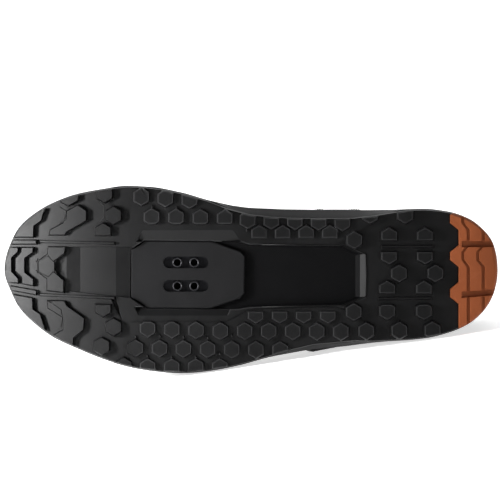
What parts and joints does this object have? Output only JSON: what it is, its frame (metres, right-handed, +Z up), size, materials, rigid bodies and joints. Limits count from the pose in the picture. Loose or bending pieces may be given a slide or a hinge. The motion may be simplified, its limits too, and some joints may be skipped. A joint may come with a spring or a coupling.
{
  "type": "cycling shoe",
  "caption": "Right cycling shoe with a lugged rubber sole, a recessed cleat plate with slots, a heel insert and an instep strap, lying on its outer side.",
  "frame": {"origin": "bottom centre of the shoe's box as it lies on its outer side", "axes": "+X from the toe to the heel, +Z up, which is towards the shoe's inner side, -Y out of the tread"},
  "size_m": [0.2926, 0.1246, 0.1167],
  "materials": {
    "outsole": "moulded black rubber, satin",
    "heel_tread": "moulded orange-brown rubber, satin",
    "cleat_plate": "fine matt moulded plastic",
    "cleat_nuts": "blackened steel",
    "midsole": "matt foam with a skin",
    "upper": "black coated textile",
    "tongue": "black padded textile",
    "instep_strap": "black webbing",
    "insole": "dark grey textile on foam"
  },
  "bodies": {
    "root": {"outsole": "outsole", "heel_tread": "heel_tread", "cleat_plate": "cleat_plate", "cleat_nuts": "cleat_nuts", "midsole": "midsole", "upper": "upper", "tongue": "tongue", "instep_strap": "instep_strap", "insole": "insole"}
  },
  "joints": []
}
